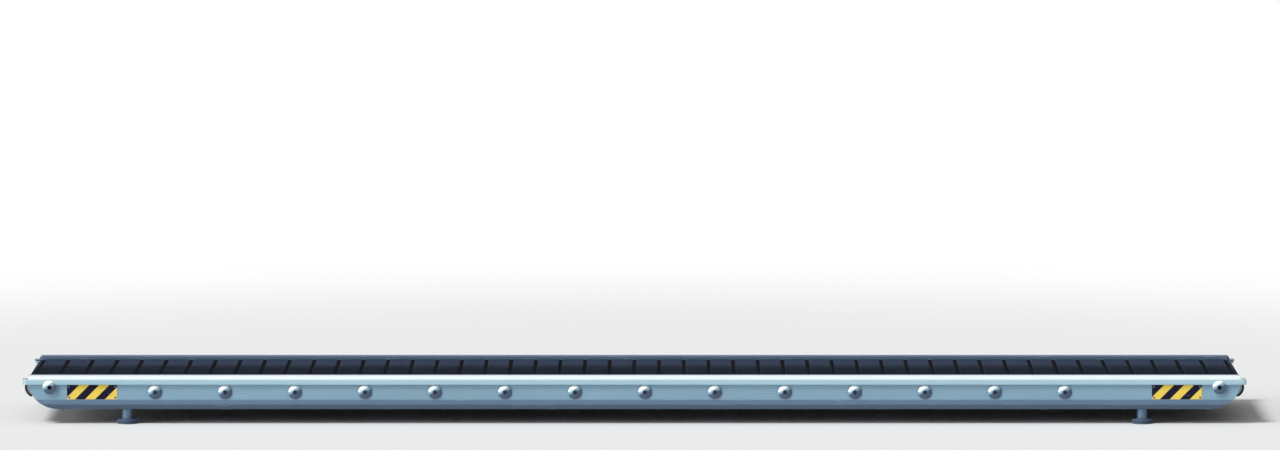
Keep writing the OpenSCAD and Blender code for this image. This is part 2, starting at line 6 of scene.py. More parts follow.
import bmesh
import bpy
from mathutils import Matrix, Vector

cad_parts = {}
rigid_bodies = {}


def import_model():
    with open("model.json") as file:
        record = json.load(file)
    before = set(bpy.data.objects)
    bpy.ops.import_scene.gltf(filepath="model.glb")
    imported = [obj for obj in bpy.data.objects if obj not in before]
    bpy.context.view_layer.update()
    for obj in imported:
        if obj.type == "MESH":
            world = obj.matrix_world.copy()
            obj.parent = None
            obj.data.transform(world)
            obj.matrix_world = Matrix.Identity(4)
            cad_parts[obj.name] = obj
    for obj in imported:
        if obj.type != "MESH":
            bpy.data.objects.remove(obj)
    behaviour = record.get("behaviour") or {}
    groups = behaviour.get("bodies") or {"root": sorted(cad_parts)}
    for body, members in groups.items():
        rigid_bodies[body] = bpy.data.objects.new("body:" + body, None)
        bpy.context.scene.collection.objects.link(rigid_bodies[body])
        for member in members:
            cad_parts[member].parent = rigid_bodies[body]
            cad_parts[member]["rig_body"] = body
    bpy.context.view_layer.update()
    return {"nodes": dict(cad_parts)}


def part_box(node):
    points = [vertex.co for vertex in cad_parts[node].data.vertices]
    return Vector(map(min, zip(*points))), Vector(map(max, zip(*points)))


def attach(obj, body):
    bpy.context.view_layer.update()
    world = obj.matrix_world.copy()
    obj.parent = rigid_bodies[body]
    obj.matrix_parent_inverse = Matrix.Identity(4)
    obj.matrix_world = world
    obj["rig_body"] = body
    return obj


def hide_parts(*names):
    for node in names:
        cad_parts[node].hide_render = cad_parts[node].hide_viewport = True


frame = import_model()


# Feet
# Each foot is a zinc-plated steel tube welded to a painted steel disc that stands on a
# moulded rubber pad. Two holes go through the disc and the pad for floor anchors.

CORNERS = ["front_left", "front_right", "rear_left", "rear_right"]
TOUCHING = 1e-6
PAD_EDGE = 0.0022
DISC_EDGE = 0.0014
TUBE_EDGE = 0.0006
CREASE = math.radians(34)
FLAT_WITHIN = math.radians(0.3)
ZINC_CRYSTALS = 220.0
DUST_HEIGHT = 0.012


def tint(red, green, blue):
    """The shaders' light values of a colour given as it looks, in 8 bits a channel."""
    return (*(((c / 255 + 0.055) / 1.055) ** 2.4 for c in (red, green, blue)), 1.0)


def add(tree, kind, inputs=None, **settings):
    """Adds a node with its settings, and gives each input named its value or its link."""
    node = tree.nodes.new(kind)
    for name, value in settings.items():
        setattr(node, name, value)
    for name, value in (inputs or {}).items():
        if isinstance(value, bpy.types.NodeSocket):
            tree.links.new(value, node.inputs[name])
        else:
            node.inputs[name].default_value = value
    return node


def made(tree, kind, inputs=None, **settings):
    """Adds a node in the same way, and gives its first output."""
    return add(tree, kind, inputs, **settings).outputs[0]


def calc(operation, *terms):
    """The result of one sum, whose terms are sockets of one tree, or numbers."""
    tree = next(term.id_data for term in terms if isinstance(term, bpy.types.NodeSocket))
    return made(tree, "ShaderNodeMath", dict(enumerate(terms)), operation=operation)


def times(first, second):
    """The two terms multiplied."""
    return calc("MULTIPLY", first, second)


def ramp(value, low, high, to_low=0.0, to_high=1.0):
    """Carries a value smoothly from one range to another, and holds it at the ends."""
    inputs = {"Value": value, "From Min": low, "From Max": high}
    inputs.update({"To Min": to_low, "To Max": to_high})
    return made(value.id_data, "ShaderNodeMapRange", inputs, interpolation_type="SMOOTHSTEP")


def blend(share, first, second):
    """A colour between two others, each a socket, or as it looks in 8 bits a channel."""
    colours = (tint(*c) if isinstance(c, tuple) else c for c in (first, second))
    inputs = dict(zip((0, 6, 7), (share, *colours)))
    return add(share.id_data, "ShaderNodeMix", inputs, data_type="RGBA").outputs[2]


def place(tree):
    """The socket of the point being shaded, in the conveyor's own frame."""
    return add(tree, "ShaderNodeTexCoord").outputs["Object"]


def apart(vector):
    """The sockets of a vector's X, Y and Z."""
    return add(vector.id_data, "ShaderNodeSeparateXYZ", {0: vector}).outputs


def cloud(tree, size, detail=2.0, stretch=(1, 1, 1), shift=0.0, at=None):
    """Soft noise from 0 to 1, with patches of about that size in metres, times the stretch.

    Another shift gives other patches of the same kind.
    """
    at = place(tree) if at is None else at
    scale = [1 / (size * share) for share in stretch]
    mapping = {"Vector": at, "Location": (shift,) * 3, "Scale": scale}
    noise = {"Vector": made(tree, "ShaderNodeMapping", mapping), "Scale": 1.0, "Detail": detail}
    return made(tree, "ShaderNodeTexNoise", noise)


def drift(noise, low, high):
    """A value that drifts between two limits as a noise does between 0.3 and 0.7."""
    return ramp(noise, 0.3, 0.7, low, high)


def spangles(tree, crystals_a_metre):
    """A value for each crystal of a zinc coat, from 0 to 1."""
    inputs = {"Vector": place(tree), "Scale": crystals_a_metre}
    crystals = add(tree, "ShaderNodeTexVoronoi", inputs)
    return made(tree, "ShaderNodeSeparateColor", {0: crystals.outputs["Color"]})


def new_finish(name, **constants):
    """A new finish and its tree of nodes. The constants hold over the whole surface."""
    material = bpy.data.materials.new(name)
    material.use_nodes = True
    shader = material.node_tree.nodes["Principled BSDF"]
    for socket, value in constants.items():
        shader.inputs[socket.replace("_", " ")].default_value = value
    return material, material.node_tree


def wire(material, colour, roughness, relief, depth, **others):
    """Joins a finish's colour, roughness, relief and others to its shader. Depth is in metres."""
    tree = material.node_tree
    bump = made(tree, "ShaderNodeBump", {"Strength": 1.0, "Distance": depth, "Height": relief})
    sources = {"Base Color": colour, "Roughness": roughness, "Normal": bump, **others}
    for socket, source in sources.items():
        tree.links.new(source, tree.nodes["Principled BSDF"].inputs[socket])
    return material


def zinc_plating():
    """Blue-grey zinc: dull spangles a few millimetres wide, with darker stains."""
    material, tree = new_finish("zinc_plating", Metallic=0.3)
    shade = spangles(tree, ZINC_CRYSTALS)
    bright = blend(shade, (82, 104, 130), (102, 127, 153))
    stained = ramp(cloud(tree, 0.03), 0.5, 0.75, 0.0, 0.5)
    colour = blend(stained, bright, (62, 78, 98))
    roughness = ramp(shade, 0.0, 1.0, 0.36, 0.5)
    return wire(material, colour, roughness, cloud(tree, 0.0012), 0.00003)


def frame_paint():
    """Dark slate enamel on the feet and the inner steelwork, dusty, lighter where it is rubbed."""
    material, tree = new_finish("frame_paint", Specular_IOR_Level=0.3)
    toned = blend(cloud(tree, 0.05, 4.0), (58, 72, 94), (74, 91, 116))
    rubbed = ramp(cloud(tree, 0.012, 5.0, shift=3.0), 0.62, 0.72, 0.0, 0.5)
    colour = blend(rubbed, toned, (104, 122, 144))
    roughness = drift(cloud(tree, 0.02), 0.42, 0.6)
    return wire(material, colour, roughness, cloud(tree, 0.0022), 0.00008)


def pad_rubber():
    """Moulded slate-grey rubber, matt, paler with dust low down."""
    material, tree = new_finish("pad_rubber", Specular_IOR_Level=0.2)
    height = apart(place(tree))["Z"]
    slate = blend(cloud(tree, 0.02, 3.0), (50, 63, 83), (66, 82, 105))
    dust = times(ramp(height, 0.0, DUST_HEIGHT, 0.5, 0.0), cloud(tree, 0.015, 4.0))
    colour = blend(dust, slate, (120, 118, 114))
    roughness = drift(cloud(tree, 0.01), 0.7, 0.88)
    return wire(material, colour, roughness, cloud(tree, 0.0015, 4.0), 0.0001)


def settle(piece):
    """Makes what a piece's modifiers give its plain mesh, and takes the modifiers off."""
    bpy.context.view_layer.update()
    seen = piece.evaluated_get(bpy.context.evaluated_depsgraph_get())
    mesh = bpy.data.meshes.new_from_object(seen)
    piece.modifiers.clear()
    piece.data = mesh


def link_piece(name, mesh):
    """Puts a new piece with that mesh in the scene, at the origin."""
    piece = bpy.data.objects.new(name, mesh)
    bpy.context.scene.collection.objects.link(piece)
    return piece


def soften(node, edge, finish, steps=2):
    """Stands in for a CAD node with the same shape, its sharp edges rounded to that radius."""
    source = frame["nodes"][node]
    shape = bmesh.new()
    shape.from_mesh(source.data)
    bmesh.ops.remove_doubles(shape, verts=shape.verts, dist=TOUCHING)
    bmesh.ops.dissolve_limit(
        shape, angle_limit=FLAT_WITHIN, verts=shape.verts, edges=shape.edges,
    )
    mesh = bpy.data.meshes.new(node + "_rounded")
    shape.to_mesh(mesh)
    shape.free()
    if "custom_normal" in mesh.attributes:
        mesh.attributes.remove(mesh.attributes["custom_normal"])
    mesh.shade_smooth()
    piece = link_piece(mesh.name, mesh)
    rounding = piece.modifiers.new("rounding", "BEVEL")
    rounding.width = edge
    rounding.segments = steps
    rounding.limit_method = "ANGLE"
    rounding.angle_limit = CREASE
    rounding.harden_normals = True
    settle(piece)
    piece.data.materials.clear()
    piece.data.materials.append(finish)
    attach(piece, source["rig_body"])
    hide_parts(node)


zinc = zinc_plating()
steel_paint = frame_paint()
rubber = pad_rubber()
for corner in CORNERS:
    soften(f"foot_pad_{corner}", PAD_EDGE, rubber, 3)
    soften(f"foot_plate_{corner}", DISC_EDGE, steel_paint)
    soften(f"foot_tube_{corner}", TUBE_EDGE, zinc)


# Foot welds
# A fillet weld runs round each tube where it meets its disc, laid in short overlapping
# stitches, and it was painted together with the disc.

WELD_SIZE = 0.005
WELD_STITCHES = 34
WELD_LEAST = 0.8
WELD_SWELL = 0.22


def plus(first, second):
    """The two terms added together."""
    return calc("ADD", first, second)


def minus(first, second):
    """The first term less the second."""
    return calc("SUBTRACT", first, second)


def over(first, second):
    """The first term divided by the second."""
    return calc("DIVIDE", first, second)


def along(start, length, share):
    """The place that lies that share of a length past its start."""
    return calc("MULTIPLY_ADD", length, share, start)


def new_tree(name, sizes, **others):
    """A Geometry Nodes tree, the sockets of its inputs, and those of the named sizes in order."""
    tree = bpy.data.node_groups.new(name, "GeometryNodeTree")
    sockets = [("Geometry", "OUTPUT", "Geometry"), ("Geometry", "INPUT", "Geometry")]
    sockets += [(size, "INPUT", "Float") for size in sizes]
    sockets += [(label.replace("_", " "), "INPUT", kind) for label, kind in others.items()]
    for label, direction, kind in sockets:
        tree.interface.new_socket(label, in_out=direction, socket_type=f"NodeSocket{kind}")
    inputs = add(tree, "NodeGroupInput").outputs
    return tree, inputs, [inputs[size] for size in sizes]


def lattice(tree, columns, rows):
    """A grid of points to bend, and the sockets of each point's column and row."""
    grid = made(tree, "GeometryNodeMeshGrid", {"Vertices X": columns, "Vertices Y": rows})
    index = made(tree, "GeometryNodeInputIndex")
    column = calc("FLOOR", over(plus(index, 0.5), rows))
    row = minus(index, times(column, rows))
    return grid, column, row


def bend(grid, x, y, z):
    """Moves a grid's points to x, y, z and closes the seams where they meet."""
    tree = grid.id_data
    spot = made(tree, "ShaderNodeCombineXYZ", {"X": x, "Y": y, "Z": z})
    moved = made(tree, "GeometryNodeSetPosition", {"Geometry": grid, "Position": spot})
    return made(tree, "GeometryNodeMergeByDistance", {"Geometry": moved, "Distance": TOUCHING})


def on_circle(radius, angle):
    """The X and Y of a point on a circle."""
    return [times(radius, calc(part, angle)) for part in ("COSINE", "SINE")]


def coat(shape, finish):
    """Gives a shape its finish."""
    inputs = {"Geometry": shape, "Material": finish}
    return made(shape.id_data, "GeometryNodeSetMaterial", inputs)


def repeat(points, shape, turn=None):
    """A copy of the shape on each point, turned where a turn is given, and made real."""
    tree = points.id_data
    spots = add(tree, "GeometryNodeInstanceOnPoints", {"Points": points, "Instance": shape})
    if turn is not None:
        tree.links.new(turn, spots.inputs["Rotation"])
    return made(tree, "GeometryNodeRealizeInstances", {"Geometry": spots.outputs[0]})


def copies(inputs, shape, turn=None):
    """Ends a tree: a copy of the shape on each given point, in the named finish."""
    real = repeat(inputs["Geometry"], shape, turn)
    add(real.id_data, "NodeGroupOutput", {0: coat(real, inputs["Finish"])})


def grow(name, tree, points, body, slot, **values):
    """Runs a tree on points, its inputs set by name, and keeps its mesh as a piece on a body."""
    mesh = bpy.data.meshes.new(name)
    mesh.from_pydata(points, [], [])
    piece = link_piece(name, mesh)
    modifier = piece.modifiers.new(tree.name, "NODES")
    modifier.node_group = tree
    for item in tree.interface.items_tree:
        label = item.name.replace(" ", "_")
        if item.in_out == "INPUT" and label in values:
            modifier[item.identifier] = values[label]
    settle(piece)
    piece.data.shade_smooth()
    piece.data.set_sharp_from_angle(angle=CREASE)
    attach(piece, body)
    return piece


def swelling(beat):
    """How much thicker than its least a weld is, once for each half turn of the beat."""
    return along(WELD_LEAST, WELD_SWELL, calc("ABSOLUTE", calc("SINE", beat)))


def weld_tree():
    """A ring of weld: a small round section carried round the tube, swelling at each stitch."""
    tree, inputs, (ring, size) = new_tree(
        "weld", ["Ring", "Size"], Stitches="Int", Finish="Material",
    )
    around, rows = 204, 9
    grid, column, row = lattice(tree, around + 1, rows)
    turn = times(column, math.tau / around)
    section = times(row, math.tau / (rows - 1))
    beat = times(times(turn, inputs["Stitches"]), 0.5)
    out, up = on_circle(times(size, swelling(beat)), section)
    x, y = on_circle(plus(ring, out), turn)
    copies(inputs, bend(grid, x, y, up))
    return tree


weld = weld_tree()
for corner in CORNERS:
    low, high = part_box(f"foot_tube_{corner}")
    place_of_weld = ((low.x + high.x) / 2, (low.y + high.y) / 2, low.z)
    grow(
        f"foot_weld_{corner}", weld, [place_of_weld], f"foot_{corner}", "frame_steel",
        Ring=(high.x - low.x) / 2, Size=WELD_SIZE, Stitches=WELD_STITCHES, Finish=steel_paint,
    )


# Leg clamps and beams
# The clamps are bored and slit steel blocks, welded to the rails' webs. A channel is welded
# between each pair. Two socket screws draw each slit together on the foot's tube.

CLAMP_EDGE = 0.0016
BEAM_EDGE = 0.0012
SIDES = {"front": -1, "rear": 1}
CLAMP_SCREW = {
    "Washer": 0.006, "Stand": 0.0008, "Cone": 0.0004, "Head": 0.0044, "Rise": 0.0045,
    "Socket": 0.0024, "Depth": 0.0036,
}
BOLT_MIDDLE = "bolt_middle"
CLAMP_SCREW_X = 0.0282
CLAMP_SCREW_HEIGHTS = [0.126, 0.152]
CLAMP_SEAT_LOW = 0.124
BEAD_SIZE = 0.0032
BEAD_STITCH = 0.0045


def pick(index, choices):
    """The choice, a number or a socket, that stands at the index."""
    tree = index.id_data
    switch = add(tree, "GeometryNodeIndexSwitch", {"Index": index}, data_type="FLOAT")
    for _ in choices[2:]:
        switch.index_switch_items.new()
    for at, choice in enumerate(choices, 1):
        if isinstance(choice, bpy.types.NodeSocket):
            tree.links.new(choice, switch.inputs[at])
        else:
            switch.inputs[at].default_value = choice
    return switch.outputs[0]


def any_turn(axis, seed):
    """Lays the Z axis along the given turn, after a random turn about it at each point."""
    tree = axis.id_data
    chance = add(tree, "FunctionNodeRandomValue", {"Seed": seed}, data_type="FLOAT").outputs[1]
    spin = {"Axis": (0.0, 0.0, 1.0), "Angle": times(chance, math.tau)}
    spin = made(tree, "FunctionNodeAxisAngleToRotation", spin)
    laid = made(tree, "FunctionNodeEulerToRotation", {0: axis})
    return made(tree, "FunctionNodeRotateRotation", {0: laid, 1: spin}, rotation_space="LOCAL")


def lathe(tree, radii, heights, around=40):
    """A round body: a profile of radii and heights, from its lower middle to its upper one."""
    grid, column, row = lattice(tree, around + 1, len(radii))
    x, y = on_circle(pick(row, radii), times(column, math.tau / around))
    return bend(grid, x, y, pick(row, heights))


def hexagon(radius, depth, height):
    """A six-sided prism about the Z axis, with its middle at that height."""
    tree = radius.id_data
    sizes = {"Vertices": 6, "Radius": radius, "Depth": depth}
    prism = made(tree, "GeometryNodeMeshCylinder", sizes)
    lift = made(tree, "ShaderNodeCombineXYZ", {"Z": height})
    return made(tree, "GeometryNodeTransform", {"Geometry": prism, "Translation": lift})


def keep_vector(geometry, name, value):
    """Keeps a vector at each point, under a name that a finish can read."""
    kept = {"Geometry": geometry, "Name": name, "Value": value}
    tree = geometry.id_data
    return made(tree, "GeometryNodeStoreNamedAttribute", kept, data_type="FLOAT_VECTOR")


def fastener_tree():
    """A coned washer under a button head with a hexagon socket, turned at random on its axis."""
    tree, inputs, (washer, stand, cone, head, rise, socket, depth) = new_tree(
        "fastener", ["Washer", "Stand", "Cone", "Head", "Rise", "Socket", "Depth"],
        Axis="Vector", Seed="Int", Finish="Material", Socket_finish="Material",
    )
    ring = minus(washer, head)
    top = plus(stand, cone)
    crown = plus(top, rise)
    # Each point's share of the way out from the head to the washer's edge, and up the cone
    cone_points = [(0.96, 0.16), (0.78, 0.42), (0.5, 0.73), (0.22, 0.94)]
    # Each point's share of the head's radius, and of its height
    head_points = [(1.0, 0.4), (0.95, 0.74), (0.84, 0.93), (0.7, 1.0)]
    radii = [0.0, washer, washer, *(along(head, ring, out) for out, _ in cone_points)]
    radii += [head, *(times(head, share) for share, _ in head_points), 0.0]
    heights = [0.0, 0.0, stand, *(along(stand, cone, up) for _, up in cone_points)]
    heights += [top, *(along(top, rise, up) for _, up in head_points), crown]
    body = coat(lathe(tree, radii, heights), inputs["Finish"])
    drill = hexagon(socket, times(depth, 2.0), crown)
    shapes = {0: body, 1: coat(drill, inputs["Socket finish"])}
    cut = made(tree, "GeometryNodeMeshBoolean", shapes, operation="DIFFERENCE", solver="EXACT")
    middle = made(tree, "GeometryNodeInputPosition")
    points = keep_vector(inputs["Geometry"], BOLT_MIDDLE, middle)
    real = repeat(points, cut, any_turn(inputs["Axis"], inputs["Seed"]))
    add(tree, "NodeGroupOutput", {0: real})
    return tree


def socket_inside(name, dark, pale):
    """The inside of a screw's socket, painted dark as shade: dull and blotched."""
    material, tree = new_finish(name, Specular_IOR_Level=0.2)
    colour = blend(cloud(tree, 0.004), dark, pale)
    roughness = drift(cloud(tree, 0.002), 0.6, 0.8)
    return wire(material, colour, roughness, cloud(tree, 0.001), 0.00005)


def taper_at_ends(column, steps, tapered):
    """1 along a run of steps, falling to 0 over so many steps at either end."""
    from_end = calc("MINIMUM", column, minus(steps, column))
    return calc("MINIMUM", over(from_end, tapered), 1.0)


def bead_tree():
    """A straight run of weld, tapered at both ends, turned from the X axis by the axis given."""
    tree, inputs, (length, size, stitch) = new_tree(
        "weld_run", ["Length", "Size", "Stitch"], Axis="Vector", Finish="Material",
    )
    steps, rows, tapered = 96, 9, 4
    grid, column, row = lattice(tree, steps + 1, rows)
    x = times(length, minus(over(column, steps), 0.5))
    beat = times(over(x, stitch), math.pi)
    full = times(size, swelling(beat))
    thick = times(full, taper_at_ends(column, steps, tapered))
    z, y = on_circle(thick, times(row, math.tau / (rows - 1)))
    turn = made(tree, "FunctionNodeEulerToRotation", {0: inputs["Axis"]})
    copies(inputs, bend(grid, x, y, z), turn)
    return tree


fastener = fastener_tree()
# The insides of the sockets are painted dark as shade
dusty_socket = socket_inside("dusty_socket", (44, 54, 72), (60, 73, 95))
bead = bead_tree()


def fasten(name, places, direction, sizes, seed, finish=zinc, inside=dusty_socket):
    """Sets one screw at each place, its head towards the direction."""
    axis = Vector((0, 0, 1)).rotation_difference(Vector(direction)).to_euler()
    grow(
        name, fastener, places, "frame", "zinc_steel", **sizes,
        Axis=tuple(axis), Seed=seed, Finish=finish, Socket_finish=inside,
    )


soften("leg_clamps", CLAMP_EDGE, steel_paint)
soften("leg_beams", BEAM_EDGE, steel_paint)
clamp_low, clamp_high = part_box("leg_clamps")
beam_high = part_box("leg_beams")[1]
foot_low, foot_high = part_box("foot_tube_front_right")
foot_x = (foot_low.x + foot_high.x) / 2
clamp_inner = beam_high.y
beam_half = beam_high.x - foot_x
clamp_half = clamp_high.x - foot_x
# Each run of weld: its places along X from the foot's middle, its distance along Y from the
# conveyor's middle, and its lowest and highest point
weld_runs = {
    "beam_side": ([-beam_half, beam_half], clamp_inner, clamp_low.z, beam_high.z),
    "clamp_side": ([-clamp_half, clamp_half], clamp_high.y, CLAMP_SEAT_LOW, clamp_high.z),
}
weld_sizes = {"Size": BEAD_SIZE, "Stitch": BEAD_STITCH, "Finish": steel_paint}
places = [(end * foot_x, side * clamp_inner, beam_high.z) for end in (-1, 1) for side in (-1, 1)]
grow(
    "beam_top_welds", bead, places, "frame", "frame_steel",
    Length=2 * beam_half, Axis=(0.0, 0.0, 0.0), **weld_sizes,
)
for name, (offsets, across, low, high) in weld_runs.items():
    places = [
        (end * foot_x + offset, side * across, (low + high) / 2)
        for end in (-1, 1)
        for offset in offsets
        for side in (-1, 1)
    ]
    grow(
        f"{name}_welds", bead, places, "frame", "frame_steel",
        Length=high - low, Axis=(0.0, math.pi / 2, 0.0), **weld_sizes,
    )
for side, facing in SIDES.items():
    places = [
        (end * foot_x + CLAMP_SCREW_X, facing * clamp_inner, height)
        for end in (-1, 1)
        for height in CLAMP_SCREW_HEIGHTS
    ]
    fasten(f"clamp_screws_{side}", places, (0, -facing, 0), CLAMP_SCREW, 3)


# Side rails
# Each rail is folded from 4 mm steel sheet with welded, rounded ends, and powder coated
# blue-grey. The two bands that lean in under the web are painted darker as shade.

RAIL_FOLD = 0.0032
WEB_LOW = 0.1225
BAND_LOW = 0.098
BAND_EDGE = 0.0012
BOLT_PITCH = 0.343
BOLT_FIRST = -2.3495
BOLT_COUNT = 14
BOLT_HEIGHT = 0.15925
FOLD_WEAR = 0.0011
BOLT_GRIME = (0.032, 0.046)
LOW_DUST = (0.07, 0.1)


def hypotenuse(first, second):
    """The long side of the right-angled triangle that has those two others."""
    return calc("SQRT", plus(calc("POWER", first, 2), calc("POWER", second, 2)))


def powder_coat(name, web, upper_band_shade, lower_band_shade):
    """Powder coat over the rail's height, the bands under the web painted darker as shade, with
    scuffs along it and a dirty ring at each bolt.
    """
    material, tree = new_finish(name, Specular_IOR_Level=0.35)
    x, _, z = apart(place(tree))
    # The web's colour above, and under it the two bands painted darker as shade, the lower one
    # more
    shade = lower_band_shade
    for low, colour in ((BAND_LOW, upper_band_shade), (WEB_LOW, web)):
        shade = blend(ramp(z, low - BAND_EDGE, low + BAND_EDGE), shade, colour)
    uneven = drift(cloud(tree, 0.35, 3.0, (2, 1, 0.4)), 0.0, 0.12)
    shade = blend(uneven, shade, (74, 94, 114))
    scuffed = ramp(cloud(tree, 0.01, 6.0, (14, 1, 0.6), 5.0), 0.64, 0.73, 0.0, 0.25)
    shade = blend(scuffed, shade, (182, 200, 212))
    from_fold = [calc("ABSOLUTE", minus(z, fold)) for fold in (WEB_LOW, BAND_LOW)]
    worn = ramp(calc("MINIMUM", *from_fold), 0.0, FOLD_WEAR, 1.0, 0.0)
    patches = ramp(cloud(tree, 0.02, 5.0, (6, 1, 1)), 0.5, 0.62, 0.0, 0.5)
    shade = blend(times(worn, patches), shade, (176, 196, 208))
    bolt = calc("ROUND", over(minus(x, BOLT_FIRST), BOLT_PITCH))
    bolt = calc("MINIMUM", calc("MAXIMUM", bolt, 0.0), BOLT_COUNT - 1.0)
    from_bolt = minus(x, calc("MULTIPLY_ADD", bolt, BOLT_PITCH, BOLT_FIRST))
    away = hypotenuse(from_bolt, minus(z, BOLT_HEIGHT))
    grime = times(ramp(away, *BOLT_GRIME, 0.5, 0.0), cloud(tree, 0.012, 4.0))
    shade = blend(grime, shade, (60, 72, 88))
    low_dust = times(ramp(z, *LOW_DUST, 0.3, 0.0), cloud(tree, 0.08, 5.0))
    shade = blend(low_dust, shade, (58, 70, 88))
    roughness = drift(cloud(tree, 0.05, 4.0, shift=9.0), 0.36, 0.5)
    return wire(material, shade, roughness, cloud(tree, 0.0024), 0.00006)


# The web's blue-grey, then the two bands under it painted darker as shade
rail_coat = powder_coat("rail_coat", (130, 164, 184), (102, 128, 154), (76, 95, 120))
for side in SIDES:
    soften(f"rail_{side}", RAIL_FOLD, rail_coat, 3)


# Cross members and end ties
# The cross members are pressed channels under the bed, closed by end walls that the rail
# bolts go through. The end ties stand on the rails' bottom flanges near each end.

MEMBER_EDGE = 0.0014

soften("cross_members", MEMBER_EDGE, steel_paint)
soften("end_ties", MEMBER_EDGE, steel_paint)


# Rail bolts
# Big plated socket bolts on coned washers hold each cross member to the rails. One at each
# end of a rail holds the drum's bearing plate, on a boss as deep as the capping's skirt.

RAIL_BOLT = {
    "Washer": 0.034, "Stand": 0.001, "Cone": 0.0105, "Head": 0.0145, "Rise": 0.0034,
    "Socket": 0.0096, "Depth": 0.006,
}
END_BOLT = {
    "Washer": 0.033, "Stand": 0.0152, "Cone": 0.005, "Head": 0.0148, "Rise": 0.002,
    "Socket": 0.0118, "Depth": 0.011,
}
END_BOLT_X = 2.8665
END_BOLT_HEIGHT = 0.18375
MEMBER_END_WALL = 0.008
BEARING_PLATE = 0.015
WASHER_RADIUS = 0.015
WASHER_HEIGHT = 0.003
WASHER_EDGE = 0.0006
NUT = {"Corner": 0.01386, "Height": 0.0130, "Thread": 0.008, "Reach": 0.006}
NUT_CHAMFER = 0.09
NUT_THREAD_TURNS = 4
NUT_THREAD_DEPTH = 0.0007
NUT_THREAD_SUNK = 0.2
# How strongly a bolt's painted highlight shows, by where a place lies from its middle, and by
# chance
HIGHLIGHT_ACROSS = 0.45
HIGHLIGHT_UP = 0.9
HIGHLIGHT_BY_CHANCE = 0.16
HALF_HIGHLIGHT = (-0.08, 0.26)
FULL_HIGHLIGHT = (0.34, 0.62)
# The head and a rim round it stay dark, out to so many radii of the head
HEAD_REACH = (1.2, 1.35)


def nut_tree():
    """A hexagon nut with chamfered corners on a flat washer, with the screw's end through it."""
    tree, inputs, (corner, height, thread, reach) = new_tree(
        "nut", ["Corner", "Height", "Thread", "Reach"],
        Axis="Vector", Seed="Int", Finish="Material",
    )
    rim = WASHER_RADIUS - WASHER_EDGE
    washer = lathe(
        tree, [0.0, rim, WASHER_RADIUS, WASHER_RADIUS, rim, 0.0],
        [0.0, 0.0, WASHER_EDGE, WASHER_HEIGHT - WASHER_EDGE, WASHER_HEIGHT, WASHER_HEIGHT],
    )
    # The nut is a chamfered disc, a little wider than its corners, cut to a hexagon
    flat = times(corner, math.cos(math.pi / 6))
    wide = times(corner, 1.02)
    levels = [0.0, 0.0, NUT_CHAMFER, 1 - NUT_CHAMFER, 1.0, 1.0]
    levels = [along(WASHER_HEIGHT, height, level) for level in levels]
    disc = lathe(tree, [0.0, flat, wide, wide, flat, 0.0], levels)
    middle = along(WASHER_HEIGHT, height, 0.5)
    body = add(tree, "GeometryNodeMeshBoolean", operation="INTERSECT", solver="EXACT")
    for shape in (disc, hexagon(corner, times(height, 1.5), middle)):
        tree.links.new(shape, body.inputs[1])
    start = along(WASHER_HEIGHT, height, 1 - NUT_THREAD_SUNK)
    length = along(reach, height, NUT_THREAD_SUNK)
    root = minus(thread, NUT_THREAD_DEPTH)
    last = 2 * NUT_THREAD_TURNS - 1
    steps = [along(start, length, i / last) for i in range(last + 1)]
    radii = [0.0, *[thread, root] * NUT_THREAD_TURNS, 0.0]
    end = lathe(tree, radii, [start, *steps, steps[-1]], 32)
    whole = add(tree, "GeometryNodeJoinGeometry")
    for shape in (end, body.outputs[0], washer):
        tree.links.new(shape, whole.inputs[0])
    copies(inputs, whole.outputs[0], any_turn(inputs["Axis"], inputs["Seed"]))
    return tree


def bolt_finish_with_highlight(name, heading):
    """Slate-grey plated steel with a painted highlight over its upper left side, pale at its edge.
    """
    material, tree = new_finish(name, Metallic=0.3)
    middle = add(tree, "ShaderNodeAttribute", attribute_name=BOLT_MIDDLE).outputs["Vector"]
    offset = made(tree, "ShaderNodeVectorMath", {0: place(tree), 1: middle}, operation="SUBTRACT")
    across, _, up = apart(offset)
    # The painted highlight: strongest up and to the left of the bolt's middle, its edge broken by
    # noise
    highlight = along(times(across, -HIGHLIGHT_ACROSS * heading), up, HIGHLIGHT_UP)
    highlight = over(highlight, RAIL_BOLT["Washer"])
    highlight = along(highlight, minus(cloud(tree, 0.014, 1.0), 0.5), HIGHLIGHT_BY_CHANCE)
    slate = blend(cloud(tree, 0.006, 3.0), (66, 83, 107), (82, 101, 126))
    # The painted highlight, pale at its edge and white within
    shade = blend(ramp(highlight, *HALF_HIGHLIGHT), slate, (136, 171, 186))
    shade = blend(ramp(highlight, *FULL_HIGHLIGHT), shade, (253, 255, 255))
    away = add(tree, "ShaderNodeVectorMath", {0: offset}, operation="LENGTH").outputs["Value"]
    on_head = ramp(over(away, RAIL_BOLT["Head"]), *HEAD_REACH, 1.0, 0.0)
    shade = blend(on_head, shade, (60, 74, 96))
    roughness = drift(cloud(tree, 0.004, 4.0), 0.3, 0.44)
    return wire(material, shade, roughness, cloud(tree, 0.0012), 0.00003)


web_outer = abs(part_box("rail_front")[0].y)
member_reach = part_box("cross_members")[1].y
bolt_row = [BOLT_FIRST + BOLT_PITCH * i for i in range(BOLT_COUNT)]
ends = [-END_BOLT_X, END_BOLT_X]
nut = nut_tree()
